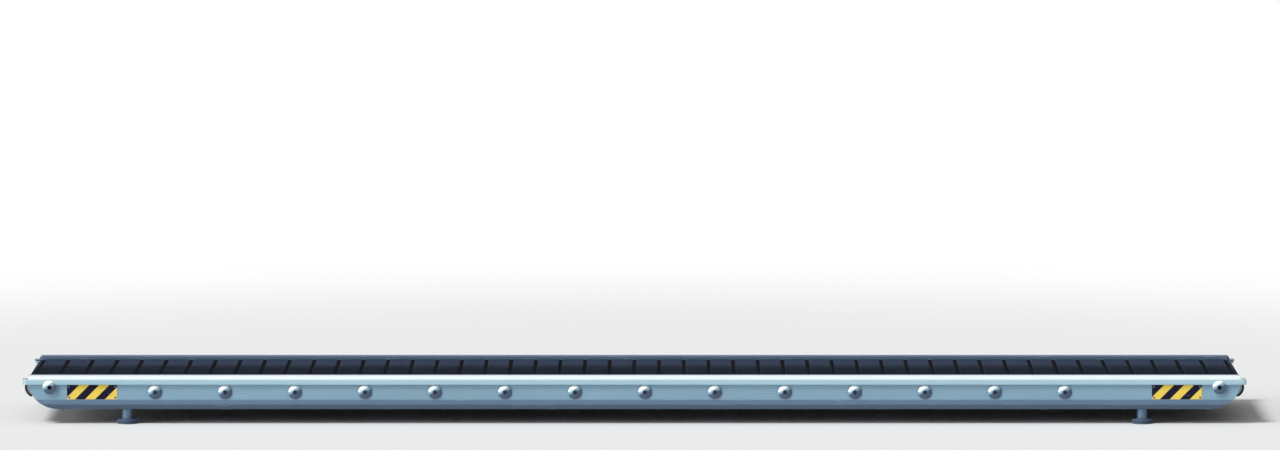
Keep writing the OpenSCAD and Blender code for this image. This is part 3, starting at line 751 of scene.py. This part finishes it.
# The end bolts' sockets are painted darker still, as the shadow of the capping above them
greasy_socket = socket_inside("greasy_socket", (8, 11, 18), (18, 23, 33))
for side, facing in SIDES.items():
    # The bolts' finish carries a painted highlight on their upper left side
    plated = bolt_finish_with_highlight(f"plated_bolt_{side}", -facing)
    places = [(x, facing * web_outer, BOLT_HEIGHT) for x in bolt_row]
    fasten(f"rail_bolts_{side}", places, (0, facing, 0), RAIL_BOLT, 7, plated)
    places = [(x, facing * web_outer, END_BOLT_HEIGHT) for x in ends]
    fasten(f"end_bolts_{side}", places, (0, facing, 0), END_BOLT, 11, plated, greasy_socket)
    places = [(x, facing * (member_reach - MEMBER_END_WALL), BOLT_HEIGHT) for x in bolt_row]
    places += [(x, facing * (member_reach - BEARING_PLATE), END_BOLT_HEIGHT) for x in ends]
    grow(
        f"rail_nuts_{side}", nut, places, "frame", "zinc_steel", **NUT,
        Axis=(facing * math.pi / 2, 0.0, 0.0), Seed=9, Finish=zinc,
    )


# Slider bed
# The bed is one galvanised sheet that lies on the cross members, its ends turned down in
# front of the drums. The belt has worn it bright in streaks.

SHEET_CRYSTALS = 70.0


def galvanised_sheet():
    """Galvanised sheet with wide spangles, polished in streaks where the belt slides."""
    material, tree = new_finish("galvanised_sheet", Metallic=0.95)
    shade = spangles(tree, SHEET_CRYSTALS)
    grey = blend(shade, (142, 152, 162), (178, 187, 195))
    streaks = cloud(tree, 0.012, 4.0, (40, 1, 1))
    colour = blend(ramp(streaks, 0.5, 0.7, 0.0, 0.6), grey, (208, 214, 219))
    roughness = drift(streaks, 0.48, 0.26)
    return wire(material, colour, roughness, streaks, 0.00004)


def finish_node(node, finish):
    """Gives a CAD node that keeps its shape its finish."""
    frame["nodes"][node].material_slots[0].material = finish


finish_node("slider_bed", galvanised_sheet())


# Drums, bearings and motor
# The drums are turned steel tubes that run on fixed axles, held by plates on the rails'
# webs. Screws with lock nuts push the tail drum's plates out to keep the belt tight.

PLATE_EDGE = 0.0014
DRUM_EDGE = 0.0015
TAKE_UP_EDGE = 0.0004
THREAD_CORE = 0.0059
THREAD_PITCH = 0.00175
THREAD_LENGTH = 0.0555
THREAD_RISE = 0.34
THREAD_HALF = 0.46


def turned_steel():
    """Machined steel with fine marks round its axis, oily and dark."""
    material, tree = new_finish("turned_steel", Metallic=1.0)
    marks = cloud(tree, 0.0012, 2.0, (30, 1, 30))
    oily = cloud(tree, 0.04, 3.0)
    colour = blend(oily, (104, 114, 126), (146, 156, 166))
    roughness = drift(oily, 0.3, 0.45)
    return wire(material, colour, roughness, marks, 0.00002)


def thread_tree():
    """A screw thread: a three-sided ridge wound along the X axis on each point."""
    tree, inputs, (core, pitch, length) = new_tree(
        "thread", ["Core", "Pitch", "Length"], Finish="Material",
    )
    around, rows, tapered = 20, 4, 8
    steps = around * round(THREAD_LENGTH / THREAD_PITCH)
    grid, column, row = lattice(tree, steps + 1, rows)
    size = times(pitch, taper_at_ends(column, steps, tapered))
    radius = pick(row, [core, along(core, size, THREAD_RISE), core, core])
    across = times(size, pick(row, [-THREAD_HALF, 0.0, THREAD_HALF, -THREAD_HALF]))
    travel = times(length, over(column, steps))
    y, z = on_circle(radius, times(column, math.tau / around))
    copies(inputs, bend(grid, plus(travel, across), y, z))
    return tree


drum_steel = turned_steel()
for drum in ("drive_drum", "tail_drum"):
    soften(drum, DRUM_EDGE, drum_steel)
    soften(drum.replace("drum", "bearing_plates"), PLATE_EDGE, steel_paint)
    finish_node(drum.replace("drum", "axle"), zinc)
finish_node("drum_motor", drum_steel)
soften("take_up_screws", TAKE_UP_EDGE, zinc)
drum_low, drum_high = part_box("drive_drum")
drum_x = (drum_low.x + drum_high.x) / 2
drum_z = (drum_low.z + drum_high.z) / 2
screw_low, screw_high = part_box("take_up_screws")
nut_across = (screw_high.z - screw_low.z) * math.cos(math.pi / 6)
thread_y = screw_high.y - nut_across / 2
grow(
    "take_up_threads", thread_tree(), [(screw_low.x, side * thread_y, drum_z) for side in (-1, 1)],
    "frame", "zinc_steel",
    Core=THREAD_CORE, Pitch=THREAD_PITCH, Length=THREAD_LENGTH, Finish=zinc,
)


# Return rollers
# The belt comes back over zinc-plated rollers on fixed axles. Their brackets stand on the
# rails' bottom flanges, each held by two screws from below, and so do the end ties.

BRACKET_EDGE = 0.0012
ROLLER_EDGE = 0.001
ROLLER_PITCH = 0.8
ROLLER_COUNT = 6
FLANGE_SCREW = {
    "Washer": 0.0075, "Stand": 0.0012, "Cone": 0.0004, "Head": 0.0055, "Rise": 0.004,
    "Socket": 0.003, "Depth": 0.0034,
}
FLANGE_SCREW_Y = 0.493
FLANGE_SCREW_APART = 0.012

soften("return_rollers", ROLLER_EDGE, zinc)
soften("roller_brackets", BRACKET_EDGE, steel_paint)
finish_node("roller_axles", zinc)
held = [ROLLER_PITCH * (i - (ROLLER_COUNT - 1) / 2) for i in range(ROLLER_COUNT)]
tie_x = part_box("end_ties")[1].x - FLANGE_SCREW_APART * 2
flange_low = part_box("rail_front")[0].z
places = [
    (x + offset, side * FLANGE_SCREW_Y, flange_low)
    for x in (*held, -tie_x, tie_x)
    for offset in (-FLANGE_SCREW_APART, FLANGE_SCREW_APART)
    for side in (-1, 1)
]
fasten("flange_screws", places, (0, 0, -1), FLANGE_SCREW, 4)


# Belt
# The belt is an endless carcass with rubber pads vulcanised across it and a groove after
# each pad. Its middle is worn smooth and dark, and dust stays on its margins.
# Its far side is painted lighter as a sheen, and its grooves near-black as shade.

GROOVE = 0.020
GROOVE_LEAN = 0.003
PAD_HEIGHT = 0.005
PAD_ROUND = 0.0016
CARCASS = 0.006
PAD_PITCH = 0.1225
PAD_STEPS = 14
PLY = 0.0015
DRUM_GAP = 0.0005
LOOP_PLACE = "loop_place"
PLY_FADE = 0.0004
# Across the belt: where the far side's painted sheen and the margins' dust begin, and where they
# are full
FAR_SHEEN = (0.04, 0.32)
MARGIN = (0.425, 0.445)
# Depths under the surface: the pads' worn edges, the grooves' painted shade, the belt's bare side
PAD_WEAR = (0.0016, 0.0003)
GROOVE_SHADE = (0.0034, 0.0014)
BARE_SIDE = (0.0004, 0.0001)


def belt_tree(pads):
    """The belt's grid: its columns go round the loop, pad by pad, its rows round its section."""
    tree, inputs, sizes = new_tree(
        "belt",
        [
            "Drum place", "Drum height", "Inner", "Carcass", "Pad", "Rounding", "Half width",
            "Pitch", "Groove", "Lean",
        ],
        Finish="Material",
    )
    run, drum_height, inner, carcass, raised, rounding, high, pitch, groove, lean = sizes
    # One pad with half a groove at either end: places along the loop, and shares of its height
    rounded = over(rounding, raised)
    below_top = minus(1.0, rounded)
    near_top = minus(1.0, times(rounded, 0.3))
    half_groove = times(groove, 0.5)
    floor_half = minus(half_groove, lean)
    wall = minus(half_groove, times(rounding, 0.2))
    turn_in = along(half_groove, rounding, 0.35)
    top_start = along(half_groove, rounding, 1.2)
    spread = minus(pitch, times(top_start, 2.0))
    tops = [along(top_start, spread, i / PAD_STEPS) for i in range(PAD_STEPS + 1)]
    ends = [minus(pitch, distance) for distance in (turn_in, wall, floor_half)]
    places = [0.0, floor_half, wall, turn_in, *tops, *ends]
    heights = [0.0, 0.0, below_top, near_top, *[1.0] * len(tops), near_top, below_top, 0.0]
    # The section, from its inner front corner up, across and down again
    low = times(high, -1.0)
    small = times(rounding, 0.3)
    across = [low, low, low, plus(low, small), plus(low, rounding)]
    across += [minus(high, rounding), minus(high, small), high, high, high, low]
    side = [0.0, 0.0, below_top, near_top, 1.0]
    shares = [*side, *side[::-1], 0.0]
    bases = [inner, *[plus(inner, carcass)] * 8, inner, inner]
    steps = len(places)
    grid, column, row = lattice(tree, pads * steps + 1, len(across))
    pad = calc("FLOOR", over(plus(column, 0.5), steps))
    point = minus(column, times(pad, steps))
    distance = along(pick(point, places), pad, pitch)
    y = pick(row, across)
    share = times(pick(row, shares), pick(point, heights))
    radius = plus(pick(row, bases), times(share, raised))
    neutral = along(inner, carcass, 0.5)
    arc = times(neutral, math.pi)

    def within(start, length):
        """How much of a stretch of the loop, from its start, lies before the point."""
        past = calc("MAXIMUM", minus(distance, start), 0.0)
        return calc("MINIMUM", past, length)

    # The loop: half the top, the drive drum, the bottom, the tail drum, half the top
    both_runs = times(run, 2.0)
    bottom = plus(run, arc)
    second = plus(bottom, both_runs)
    last = plus(second, arc)
    straight = minus(within(0.0, run), within(bottom, both_runs))
    straight = plus(straight, within(last, run))
    angle = over(plus(within(run, arc), within(second, arc)), neutral)
    up, out = on_circle(radius, angle)
    x = plus(straight, out)
    z = plus(drum_height, up)
    spot = made(tree, "ShaderNodeCombineXYZ", {"X": distance, "Y": y, "Z": radius})
    copies(inputs, bend(keep_vector(grid, LOOP_PLACE, spot), x, y, z))
    return tree


def belt_rubber(pad_radius):
    """Black rubber: matt pads scuffed along the belt, grooves painted near-black as shade, the far
    side painted lighter as a sheen.
    """
    material, tree = new_finish("belt_rubber_worn", Specular_IOR_Level=0.008)
    spot = add(tree, "ShaderNodeAttribute", attribute_name=LOOP_PLACE).outputs["Vector"]
    _, across, radius = apart(spot)
    off_centre = calc("ABSOLUTE", across)

    def streaks(size, detail, stretch, shift):
        """Noise that follows the loop, its patches so many times as long as they are wide."""
        return cloud(tree, size, detail, (stretch, 1, 1), shift, spot)

    black = blend(streaks(0.09, 5.0, 2.5, 0.0), (19, 24, 35), (29, 35, 48))
    # A painted sheen lightens the belt's far side, its edge broken by noise
    broken = along(across, streaks(0.12, 4.0, 3.0, 2.0), 0.1)
    toned = ramp(broken, *FAR_SHEEN, 0.0, 0.9)
    margin = ramp(off_centre, *MARGIN, 0.0, 0.5)
    # The far side's painted sheen and the margins' dust take one lighter colour
    shade = blend(calc("MAXIMUM", toned, margin), black, (54, 66, 87))
    scuffs = ramp(streaks(0.006, 6.0, 30.0, 4.0), 0.6, 0.72, 0.0, 0.35)
    shade = blend(scuffs, shade, (70, 82, 100))
    worn_edge = ramp(radius, *(pad_radius - depth for depth in PAD_WEAR), 0.35, 0.0)
    worn_edge = times(worn_edge, streaks(0.01, 3.0, 1.0, 8.0))
    shade = blend(worn_edge, shade, (96, 108, 124))
    # The grooves are painted near-black as shade
    groove_shade = ramp(radius, *(pad_radius - depth for depth in GROOVE_SHADE), 1.0, 0.0)
    shade = blend(groove_shade, shade, (9, 11, 17))
    # The carcass's fabric plies show at the belt's sides
    plies = calc("PINGPONG", over(radius, PLY), 0.5)
    at_side = ramp(off_centre, *(belt_high.y - depth for depth in BARE_SIDE))
    carcass = pad_radius - PAD_HEIGHT
    in_carcass = ramp(radius, carcass - PLY_FADE, carcass + PLY_FADE, 1.0, 0.0)
    plies = times(times(at_side, in_carcass), times(plies, 0.8))
    shade = blend(plies, shade, (132, 128, 118))
    roughness = drift(streaks(0.05, 4.0, 2.0, 6.0), 0.72, 0.88)
    return wire(material, shade, roughness, streaks(0.0018, 4.0, 1.0, 0.0), 0.00012)


inner = (drum_high.z - drum_low.z) / 2 + DRUM_GAP
neutral = inner + CARCASS / 2
loop = 4 * drum_x + math.tau * neutral
pads = round(loop / PAD_PITCH)
belt_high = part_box("belt")[1]
belt = grow(
    "belt_pads", belt_tree(pads), [(0.0, 0.0, 0.0)], "frame", "belt_rubber",
    Drum_place=drum_x, Drum_height=drum_z, Inner=inner, Carcass=CARCASS, Pad=PAD_HEIGHT,
    Rounding=PAD_ROUND, Half_width=belt_high.y, Pitch=loop / pads,
    Groove=GROOVE, Lean=GROOVE_LEAN, Finish=belt_rubber(belt_high.z - drum_z),
)
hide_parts("belt")


# Edge strips
# A strip of soft black rubber closes the gap between the belt and each capping.

STRIP_EDGE = 0.0012


def strip_rubber():
    """Soft black rubber, polished grey in places by the belt's side."""
    material, tree = new_finish("strip_rubber", Specular_IOR_Level=0.05)
    black = blend(cloud(tree, 0.05, 4.0, (4, 1, 1)), (20, 25, 34), (32, 39, 51))
    polished = ramp(cloud(tree, 0.01, 4.0, (20, 1, 1), 3.0), 0.55, 0.7, 0.0, 0.4)
    colour = blend(polished, black, (58, 68, 84))
    roughness = drift(cloud(tree, 0.02), 0.7, 0.88)
    return wire(material, colour, roughness, cloud(tree, 0.0015, 4.0), 0.0001)


strip_black = strip_rubber()
for side in SIDES:
    soften(f"edge_strip_{side}", STRIP_EDGE, strip_black)


# Cappings
# The base is an anodised aluminium angle over the rail's edge. The cover on it is brushed
# stainless steel outside. Along the belt's side, both are painted slate as shade.

BASE_EDGE = 0.0008
COVER_EDGE = 0.0004
PAINTED_SHADE_LINE = 0.522
PAINTED_SHADE_EDGE = 0.0008
END_GRAIN = (0.019, 0.022)


def outside_unshaded(y):
    """1 on the side that faces out, and 0 on the side by the belt, which is painted slate as
    shade.
    """
    across = calc("ABSOLUTE", y)
    return ramp(across, PAINTED_SHADE_LINE - PAINTED_SHADE_EDGE, PAINTED_SHADE_LINE + PAINTED_SHADE_EDGE)


def anodised_base():
    """Pale blue-grey anodised aluminium with faint extrusion lines along it, painted slate as
    shade by the belt.
    """
    material, tree = new_finish("anodised_base", Metallic=0.55)
    lines = cloud(tree, 0.0012, 3.0, (400, 1, 1))
    uneven = cloud(tree, 0.3, 3.0, (3, 1, 1))
    colour = blend(uneven, (160, 194, 207), (171, 205, 216))
    scuffed = ramp(cloud(tree, 0.008, 6.0, (16, 1, 1), 7.0), 0.64, 0.74, 0.0, 0.4)
    colour = blend(scuffed, colour, (206, 222, 230))
    outside = outside_unshaded(apart(place(tree))["Y"])
    # The side by the belt is painted slate as shade
    colour = blend(outside, (62, 79, 102), colour)
    roughness = drift(lines, 0.3, 0.42)
    return wire(material, colour, roughness, lines, 0.00002)


def brushed_cover():
    """Brushed stainless steel, its grain along the rail and round its ends, painted slate as shade
    by the belt.
    """
    material, tree = new_finish("brushed_cover")
    x, y, _ = apart(place(tree))
    brushing = cloud(tree, 0.0009, 4.0, (260, 1, 1))
    from_end = minus(cover_high.x, calc("ABSOLUTE", x))
    change = minus(cloud(tree, 0.0009, 4.0, (1, 60, 60)), brushing)
    brushing = along(brushing, change, ramp(from_end, *END_GRAIN, 1.0, 0.0))
    steel = blend(brushing, (224, 237, 241), (240, 250, 252))
    # The side by the belt is painted slate as shade, with lighter chips in it
    slate = blend(cloud(tree, 0.08, 5.0, (4, 1, 1)), (68, 86, 110), (84, 103, 128))
    chipped = ramp(cloud(tree, 0.012, 6.0, (8, 1, 1), 1.0), 0.62, 0.7, 0.0, 0.45)
    slate = blend(chipped, slate, (118, 136, 156))
    outside = outside_unshaded(y)
    shade = blend(outside, slate, steel)
    smooth = drift(brushing, 0.2, 0.34)
    roughness = along(smooth, minus(1.0, outside), 0.25)
    return wire(material, shade, roughness, brushing, 0.00002, Metallic=outside)


base_metal = anodised_base()
cover_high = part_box("capping_cover_front")[1]
cover_metal = brushed_cover()
for side in SIDES:
    soften(f"capping_base_{side}", BASE_EDGE, base_metal)
    soften(f"capping_cover_{side}", COVER_EDGE, cover_metal)


# Warning plates
# Thin steel plates with black and yellow stripes, painted and screwed to the rails' webs,
# warn of the belt's turning ends.

STRIPE = 0.049
STRIPE_EDGE = 0.004
STRIPE_PAIRS = 3
PLATE_LENGTH = 0.245
PLATE_THICKNESS = 0.0015
PLATE_CORNER = 0.0005
PLATE_SCREW = {
    "Washer": 0.0052, "Stand": 0.0004, "Cone": 0.0005, "Head": 0.0042, "Rise": 0.0018,
    "Socket": 0.0022, "Depth": 0.0016,
}
PLATE_SCREW_INSET = 0.009
plate_low, plate_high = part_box("warning_plates_front")


def warning_paint(name, heading):
    """Black and yellow stripes at 45 degrees. Heading is 1 seen from the front, -1 from behind."""
    material, tree = new_finish(name, Specular_IOR_Level=0.08)
    x, _, z = apart(place(tree))
    seen = times(x, heading)
    at_right = calc("GREATER_THAN", seen, 0.0)
    start = calc("MULTIPLY_ADD", at_right, 2 * plate_high.x - PLATE_LENGTH, -plate_high.x)
    down = minus(BOLT_HEIGHT + STRIPE / 2, z)
    phase = over(plus(minus(seen, start), down), 2 * STRIPE)
    phase = calc("MINIMUM", calc("MAXIMUM", phase, 0.01), STRIPE_PAIRS - 0.01)
    saw = calc("PINGPONG", minus(phase, 0.25), 0.5)
    yellow = ramp(saw, 0.25 - STRIPE_EDGE, 0.25 + STRIPE_EDGE)
    black = blend(cloud(tree, 0.02, 4.0), (20, 20, 40), (30, 30, 50))
    gold = blend(cloud(tree, 0.03, 4.0, shift=2.0), (229, 198, 82), (238, 210, 98))
    shade = blend(yellow, black, gold)
    scuffed = ramp(cloud(tree, 0.006, 6.0, (8, 1, 1), 6.0), 0.64, 0.73, 0.0, 0.45)
    shade = blend(scuffed, shade, (150, 154, 150))
    roughness = drift(cloud(tree, 0.02, 3.0), 0.32, 0.48)
    return wire(material, shade, roughness, cloud(tree, 0.003), 0.00005)


for side, facing in SIDES.items():
    soften(f"warning_plates_{side}", PLATE_CORNER, warning_paint(f"stripes_{side}", -facing))
    places = [
        (end * (plate_high.x - inset), facing * (web_outer + PLATE_THICKNESS), height)
        for end in (-1, 1)
        for inset in (PLATE_SCREW_INSET, PLATE_LENGTH - PLATE_SCREW_INSET)
        for height in (plate_low.z + PLATE_SCREW_INSET, plate_high.z - PLATE_SCREW_INSET)
    ]
    fasten(f"plate_screws_{side}", places, (0, facing, 0), PLATE_SCREW, 5)


# Terminal box and cable gland
# The drive's supply ends in a grey enamelled steel box on the rear rail, with a screwed
# lid. The nylon gland for its cable goes through the flange and the box's floor.

BOX_EDGE = 0.0008
LID_EDGE = 0.00088
GLAND_EDGE = 0.0008
LID_SCREW = {
    "Washer": 0.0042, "Stand": 0.0004, "Cone": 0.0003, "Head": 0.0034, "Rise": 0.0014,
    "Socket": 0.0017, "Depth": 0.0013,
}
LID_SCREW_INSET = 0.008


def grey_enamel():
    """Light grey stove enamel with a slight orange-peel skin."""
    material, tree = new_finish("grey_enamel", Specular_IOR_Level=0.5)
    colour = blend(cloud(tree, 0.04, 4.0), (150, 158, 166), (168, 176, 183))
    roughness = drift(cloud(tree, 0.02), 0.3, 0.42)
    return wire(material, colour, roughness, cloud(tree, 0.002), 0.00008)


def black_nylon():
    """Moulded black nylon, slightly glossy."""
    material, tree = new_finish("black_nylon", Specular_IOR_Level=0.45)
    colour = blend(cloud(tree, 0.01), (28, 31, 38), (38, 42, 50))
    roughness = drift(cloud(tree, 0.006), 0.38, 0.5)
    return wire(material, colour, roughness, cloud(tree, 0.001), 0.00004)


enamel = grey_enamel()
soften("terminal_box", BOX_EDGE, enamel)
soften("terminal_lid", LID_EDGE, enamel)
soften("cable_gland", GLAND_EDGE, black_nylon())
lid_low, lid_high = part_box("terminal_lid")
places = [
    (x, lid_low.y, z)
    for x in (lid_low.x + LID_SCREW_INSET, lid_high.x - LID_SCREW_INSET)
    for z in (lid_low.z + LID_SCREW_INSET, lid_high.z - LID_SCREW_INSET)
]
fasten("lid_screws", places, (0, -1, 0), LID_SCREW, 2)


# Studio
# A pale floor that fades into a white backdrop, a soft key light from the upper left front
# with a weaker low one to its left, and the camera at the photograph's place.

PHOTO_WIDTH, PHOTO_HEIGHT = 1280, 450
PHOTO_MIDDLE_X = 634.5
PHOTO_CAPPING_Y = 382.5
PHOTO_SCALE = 0.0049
CAMERA_DISTANCE = 50.0
CAMERA_ELEVATION = math.radians(5.65)
SENSOR = 36.0
FLOOR_RADIUS = 60.0
FLOOR_FADE = (4.5, 9.0)
FLOOR_PAINT = (0.93, 0.93, 0.93, 1.0)
AMBIENT = 0.3
AMBIENT_FROM_LEFT = 0.6
# Each lamp's strength, how wide it looks in degrees, and the direction that it shines from
LAMPS = {
    "key": (2.1, 18, Vector((-0.5, -0.42, 0.757))),
    "low": (1.1, 30, Vector((-0.8, -0.55, 0.24))),
}


def seen_directly(tree):
    """1 for a ray from the camera, or one that metal or glass sends on, and 0 for the rest."""
    path = add(tree, "ShaderNodeLightPath").outputs
    shown = calc("MAXIMUM", path["Is Camera Ray"], path["Is Glossy Ray"])
    return calc("MAXIMUM", shown, path["Is Transmission Ray"])


def studio_floor():
    """Pale floor paint near the conveyor, fading to the backdrop's white, unseen from below."""
    material, tree = new_finish(
        "studio_floor", Base_Color=FLOOR_PAINT, Roughness=0.9, Specular_IOR_Level=0.1,
    )
    x, y, _ = apart(place(tree))
    faded = times(ramp(hypotenuse(x, y), *FLOOR_FADE), seen_directly(tree))
    paint = tree.nodes["Principled BSDF"].outputs[0]
    white = made(tree, "ShaderNodeEmission", {"Strength": 1.0})
    pale = made(tree, "ShaderNodeMixShader", {0: faded, 1: paint, 2: white})
    behind = add(tree, "ShaderNodeNewGeometry").outputs["Backfacing"]
    clear = made(tree, "ShaderNodeBsdfTransparent")
    shown = made(tree, "ShaderNodeMixShader", {0: behind, 1: pale, 2: clear})
    tree.links.new(shown, tree.nodes["Material Output"].inputs["Surface"])
    return material


def studio_world():
    """A white backdrop all round, and a plain soft light on the conveyor."""
    world = bpy.data.worlds.new("studio")
    world.use_nodes = True
    tree = world.node_tree
    tree.nodes.clear()
    towards_x = apart(add(tree, "ShaderNodeTexCoord").outputs["Generated"])["X"]
    level = along(AMBIENT, towards_x, -AMBIENT * AMBIENT_FROM_LEFT)
    lights = [
        made(tree, "ShaderNodeBackground", {"Color": (1, 1, 1, 1), "Strength": strength})
        for strength in (level, 1.0)
    ]
    shares = dict(enumerate((seen_directly(tree), *lights)))
    add(tree, "ShaderNodeOutputWorld", {"Surface": made(tree, "ShaderNodeMixShader", shares)})
    return world


outline = bmesh.new()
bmesh.ops.create_circle(outline, cap_ends=True, segments=96, radius=FLOOR_RADIUS)
floor_mesh = bpy.data.meshes.new("floor")
outline.to_mesh(floor_mesh)
outline.free()
floor_mesh.materials.append(studio_floor())
link_piece("floor", floor_mesh)
bpy.context.scene.world = studio_world()

for name, (strength, softness, direction) in LAMPS.items():
    lamp = bpy.data.lights.new(name, "SUN")
    lamp.energy = strength
    lamp.angle = math.radians(softness)
    link_piece(name, lamp).rotation_euler = direction.to_track_quat("Z", "Y").to_euler()

focal_pixels = CAMERA_DISTANCE / PHOTO_SCALE
below_middle = math.atan((PHOTO_CAPPING_Y - PHOTO_HEIGHT / 2) / focal_pixels)
capping_low, capping_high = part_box("capping_base_front")
target_x = (PHOTO_WIDTH / 2 - PHOTO_MIDDLE_X) * PHOTO_SCALE
target = Vector((target_x, capping_low.y, (capping_low.z + capping_high.z) / 2))
back = Vector((0, -math.cos(CAMERA_ELEVATION), math.sin(CAMERA_ELEVATION)))
lens = bpy.data.cameras.new("camera")
lens.sensor_width = SENSOR
lens.lens = SENSOR * focal_pixels / PHOTO_WIDTH
lens.clip_end = 10 * CAMERA_DISTANCE
camera = link_piece("camera", lens)
camera.location = target + back * CAMERA_DISTANCE
camera.rotation_euler = (math.pi / 2 - CAMERA_ELEVATION + below_middle, 0, 0)
bpy.context.scene.camera = camera
bpy.context.scene.view_settings.view_transform = "Standard"
